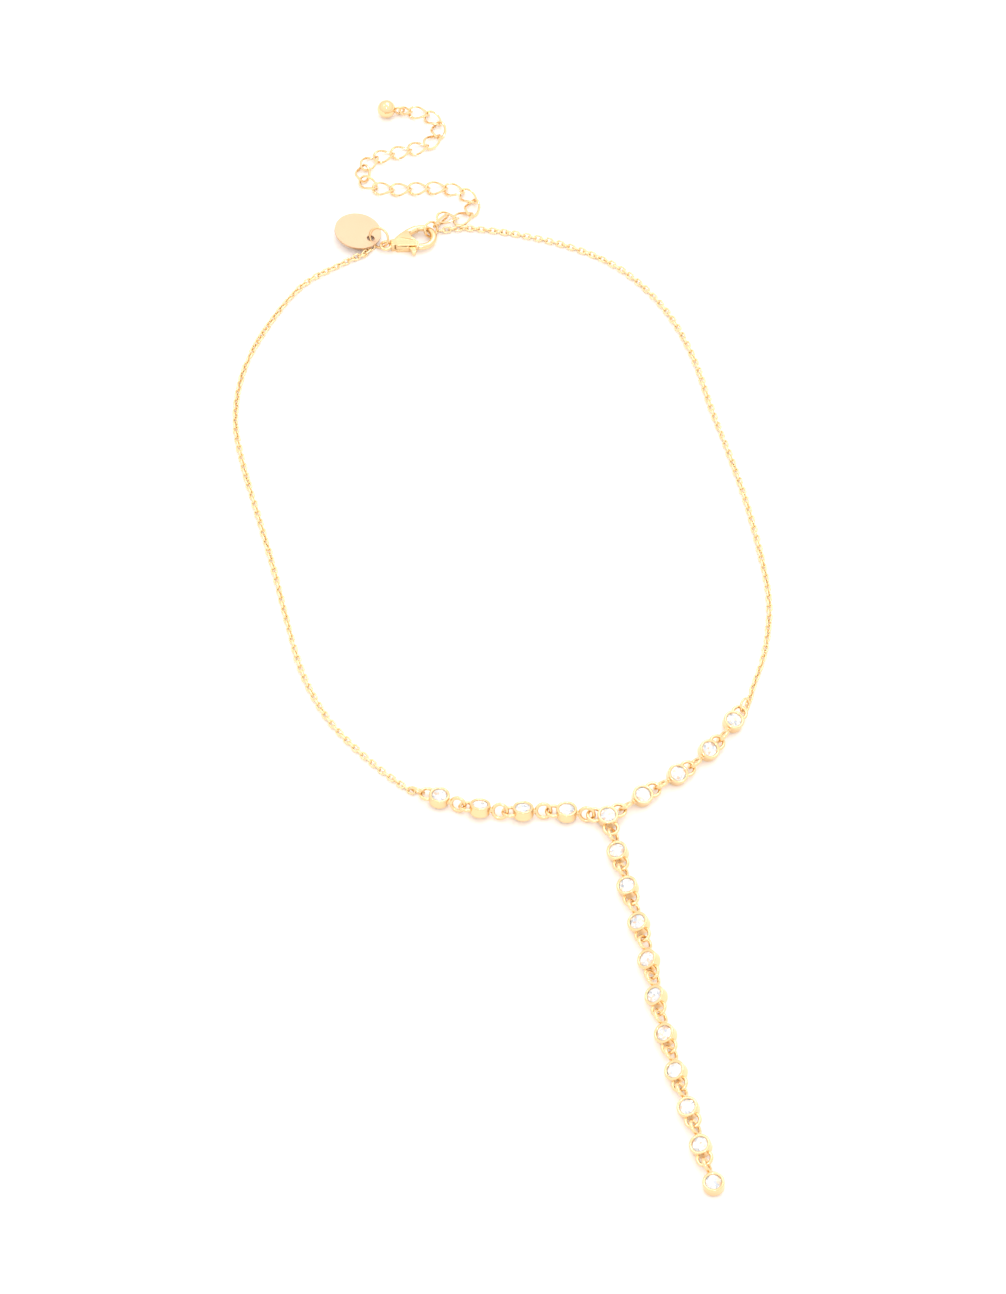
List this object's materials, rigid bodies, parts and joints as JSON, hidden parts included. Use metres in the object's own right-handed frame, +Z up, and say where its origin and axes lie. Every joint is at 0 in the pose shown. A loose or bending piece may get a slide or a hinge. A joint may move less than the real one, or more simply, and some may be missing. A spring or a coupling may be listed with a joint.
{
  "type": "y necklace",
  "caption": "Y necklace lying open: fine cable chains, round stones in linked bezels that form two arms and a long drop, lobster clasp with a round tag, extender chain with an end ball.",
  "frame": {"origin": "centre of the bounding box, on the surface the necklace lies on", "axes": "+Z up from the surface, +Y from the drop towards the clasp, +X to the right as worn side up"},
  "size_m": [0.0998, 0.2742, 0.0043],
  "materials": {
    "gold": "polished gold-tone plating",
    "satin_gold": "satin gold-tone plating",
    "stone": "polished clear crystal"
  },
  "bodies": {
    "necklace": {"setting_centre": "gold", "setting_left_1": "gold", "setting_left_2": "gold", "setting_left_3": "gold", "setting_left_4": "gold", "setting_right_1": "gold", "setting_right_2": "gold", "setting_right_3": "gold", "setting_right_4": "gold", "setting_drop_01": "gold", "setting_drop_02": "gold", "setting_drop_03": "gold", "setting_drop_04": "gold", "setting_drop_05": "gold", "setting_drop_06": "gold", "setting_drop_07": "gold", "setting_drop_08": "gold", "setting_drop_09": "gold", "setting_drop_10": "gold", "stone_centre": "stone", "stone_left_1": "stone", "stone_left_2": "stone", "stone_left_3": "stone", "stone_left_4": "stone", "stone_right_1": "stone", "stone_right_2": "stone", "stone_right_3": "stone", "stone_right_4": "stone", "stone_drop_01": "stone", "stone_drop_02": "stone", "stone_drop_03": "stone", "stone_drop_04": "stone", "stone_drop_05": "stone", "stone_drop_06": "stone", "stone_drop_07": "stone", "stone_drop_08": "stone", "stone_drop_09": "stone", "stone_drop_10": "stone", "end_ring_left": "gold", "end_ring_right": "gold", "chain_left": "gold", "chain_right": "gold", "clasp_body": "gold", "tag_ring": "gold", "tag": "satin_gold", "hook_ring": "gold", "extender_chain": "gold", "ball_link": "gold", "end_ball": "gold"},
    "lever": {"clasp_lever": "gold"}
  },
  "joints": [
    {"name": "clasp_lever_hinge", "type": "hinge", "parent": "necklace", "child": "lever", "pos_m": [-0.00575, 0.0963, 0.00135], "axis": [0, 0, 1], "range_deg": [0, 26], "stiffness_Nm_per_rad": 0.004, "springref_deg": -20.05}
  ]
}
